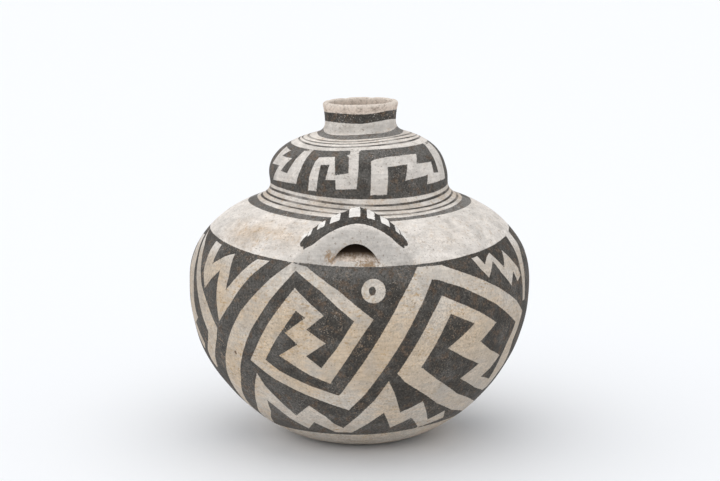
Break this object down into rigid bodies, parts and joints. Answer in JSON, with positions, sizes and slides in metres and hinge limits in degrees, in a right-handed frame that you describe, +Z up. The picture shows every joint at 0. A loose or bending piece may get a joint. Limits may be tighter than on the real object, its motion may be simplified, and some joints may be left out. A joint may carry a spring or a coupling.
{
  "type": "black-on-white pottery jar",
  "caption": "Hollow round-bodied pottery jar with a bulbed shoulder, a short neck and pierced lugs, painted in black geometric figures on white slip.",
  "frame": {"origin": "middle of the foot ring, on the surface that the jar stands on", "axes": "+Z up along the jar's axis; one lug faces -Y and the other +Y"},
  "size_m": [0.28, 0.28, 0.2748],
  "materials": {
    "painted_slip": "matt low-fired clay: worn dark paint on pale grey-cream slip, with bare clay on the lip"
  },
  "bodies": {
    "root": {"jar": "painted_slip"}
  },
  "joints": []
}
